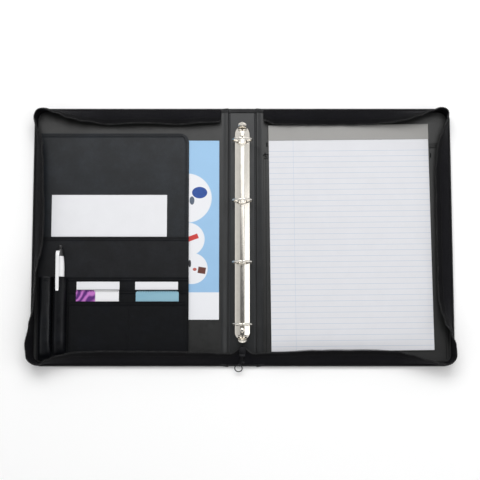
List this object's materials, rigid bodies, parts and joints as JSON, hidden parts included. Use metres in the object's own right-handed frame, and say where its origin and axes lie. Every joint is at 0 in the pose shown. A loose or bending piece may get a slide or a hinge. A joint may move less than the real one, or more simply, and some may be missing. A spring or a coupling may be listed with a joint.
{
  "type": "zip-round portfolio case",
  "caption": "Black leatherette A4 zip-round portfolio case, open flat: ring binder in the spine, stacked pockets and pen sleeves at the front, slip-in writing pad at the back.",
  "frame": {"origin": "middle of the spine's outer face, the face the open case lies on", "axes": "+X from the spine towards the back cover (the pad side), +Y towards the head of the case, +Z out of the lining"},
  "size_m": [0.5533, 0.3464, 0.0338],
  "materials": {
    "leatherette": "fine-grained black leatherette, satin",
    "board": "matt greyboard",
    "lining": "soft charcoal-grey leatherette lining, matt",
    "pocket": "blue-black leatherette, satin",
    "gusset": "black woven zip tape and gusset cloth, matt",
    "zip": "black nylon coil",
    "nickel": "bright nickel plate",
    "slider": "black lacquered zinc",
    "paper": "uncoated ruled paper",
    "binding": "grey binding paper, matt",
    "envelope": "plain uncoated paper",
    "leaflet": "coated light-blue paper, satin",
    "card_teal": "coated card",
    "card_purple": "coated card",
    "card_white": "white coated card",
    "pen_white": "polished",
    "pen_black": "polished"
  },
  "bodies": {
    "back_cover": {"back_cover_skin": "leatherette", "back_cover_board": "board", "back_cover_lining": "lining", "pad_pocket": "lining", "back_gusset": "gusset", "back_zip_chain": "zip"},
    "spine": {"spine_skin": "leatherette", "spine_board": "board", "spine_lining": "lining", "ring_casing": "nickel", "rivet_top": "nickel", "rivet_bottom": "nickel", "lever_pin_top": "nickel", "lever_pin_bottom": "nickel", "spine_gusset": "gusset", "zip_joined_end": "zip", "zip_end_stop": "slider"},
    "front_cover": {"front_cover_skin": "leatherette", "front_cover_board": "board", "front_cover_lining": "lining", "document_pocket": "pocket", "envelope_pocket": "pocket", "organiser_panel": "pocket", "card_slot_upper": "pocket", "card_slot_lower": "pocket", "pen_sleeve_left": "pocket", "pen_sleeve_right": "pocket", "front_gusset": "gusset", "front_zip_chain": "zip"},
    "left_half_rings": {"ring_blade_left": "nickel", "ring_1_left": "nickel", "ring_2_left": "nickel", "ring_3_left": "nickel", "ring_4_left": "nickel"},
    "right_half_rings": {"ring_blade_right": "nickel", "ring_1_right": "nickel", "ring_2_right": "nickel", "ring_3_right": "nickel", "ring_4_right": "nickel"},
    "top_lever": {"lever_top": "nickel"},
    "bottom_lever": {"lever_bottom": "nickel"},
    "slider": {"zip_slider": "slider"},
    "pull_tab": {"zip_pull_tab": "slider"},
    "pull_ring": {"zip_pull_ring": "slider"},
    "pad": {"pad_backing": "board", "pad_sheets": "paper", "pad_binding": "binding"},
    "pen": {"pen_barrel": "pen_white", "pen_tip": "nickel", "pen_clip": "pen_white"},
    "pen_clicker": {"pen_button": "pen_black"},
    "upper_left_card": {"card_upper_left": "card_white"},
    "lower_left_card": {"card_lower_left": "card_purple"},
    "upper_right_card": {"card_upper_right": "card_white"},
    "lower_right_card": {"card_lower_right": "card_teal"},
    "loose_envelope": {"envelope": "envelope"},
    "loose_leaflet": {"leaflet": "leaflet"}
  },
  "joints": [
    {"name": "spine_fold", "type": "hinge", "parent": "back_cover", "child": "spine", "pos_m": [0.0225, 0, 0.0004], "axis": [0, 1, 0], "range_deg": [0, 90]},
    {"name": "front_cover_fold", "type": "hinge", "parent": "spine", "child": "front_cover", "pos_m": [-0.0225, 0, 0.0004], "axis": [0, 1, 0], "range_deg": [0, 90]},
    {"name": "left_rings_open", "type": "hinge", "parent": "spine", "child": "left_half_rings", "pos_m": [-0.0082, 0.0045, 0.00585], "axis": [0, 1, 0], "range_deg": [-14, 0]},
    {"name": "right_rings_open", "type": "hinge", "parent": "spine", "child": "right_half_rings", "pos_m": [0.0082, 0.0045, 0.00585], "axis": [0, -1, 0], "range_deg": [-14, 0]},
    {"name": "top_lever_press", "type": "hinge", "parent": "spine", "child": "top_lever", "pos_m": [0, 0.14, 0.0066], "axis": [1, 0, 0], "range_deg": [-22, 0]},
    {"name": "bottom_lever_press", "type": "hinge", "parent": "spine", "child": "bottom_lever", "pos_m": [0, -0.131, 0.0066], "axis": [-1, 0, 0], "range_deg": [-22, 0]},
    {"name": "zip_slide", "type": "slide", "parent": "spine", "child": "slider", "axis": [0, 1, 0], "range_m": [-0.005, 0]},
    {"name": "zip_pull_swing", "type": "hinge", "parent": "slider", "child": "pull_tab", "pos_m": [0, -0.1554, 0.0122], "axis": [1, 0, 0], "range_deg": [-100, 0]},
    {"name": "pull_ring_swing", "type": "hinge", "parent": "pull_tab", "child": "pull_ring", "pos_m": [-0.00369, -0.1679, 0.00908], "axis": [0.9613, -0.2674, -0.0667], "range_deg": [-90, 0]},
    {"name": "pen_slide", "type": "slide", "parent": "front_cover", "child": "pen", "axis": [0, -1, 0], "range_m": [-0.09, 0]},
    {"name": "pen_click", "type": "slide", "parent": "pen", "child": "pen_clicker", "axis": [0, -1, 0], "range_m": [0, 0.003], "stiffness_N_per_m": 300},
    {"name": "upper_left_card_slide", "type": "slide", "parent": "front_cover", "child": "upper_left_card", "axis": [0, -1, 0], "range_m": [-0.08, 0]},
    {"name": "lower_left_card_slide", "type": "slide", "parent": "front_cover", "child": "lower_left_card", "axis": [0, -1, 0], "range_m": [-0.08, 0]},
    {"name": "upper_right_card_slide", "type": "slide", "parent": "front_cover", "child": "upper_right_card", "axis": [0, -1, 0], "range_m": [-0.08, 0]},
    {"name": "lower_right_card_slide", "type": "slide", "parent": "front_cover", "child": "lower_right_card", "axis": [0, -1, 0], "range_m": [-0.08, 0]},
    {"name": "envelope_slide", "type": "slide", "parent": "front_cover", "child": "loose_envelope", "axis": [0, -1, 0], "range_m": [-0.06, 0]},
    {"name": "leaflet_slide", "type": "slide", "parent": "front_cover", "child": "loose_leaflet", "axis": [0, -1, 0], "range_m": [-0.025, 0]},
    {"name": "pad_slide", "type": "slide", "parent": "back_cover", "child": "pad", "axis": [0, -1, 0], "range_m": [-0.004, 0]}
  ],
  "couplings": [
    {"joint": "right_rings_open", "follows": "left_rings_open", "ratio": 1},
    {"joint": "top_lever_press", "follows": "left_rings_open", "ratio": 1.5714},
    {"joint": "bottom_lever_press", "follows": "left_rings_open", "ratio": 1.5714}
  ]
}
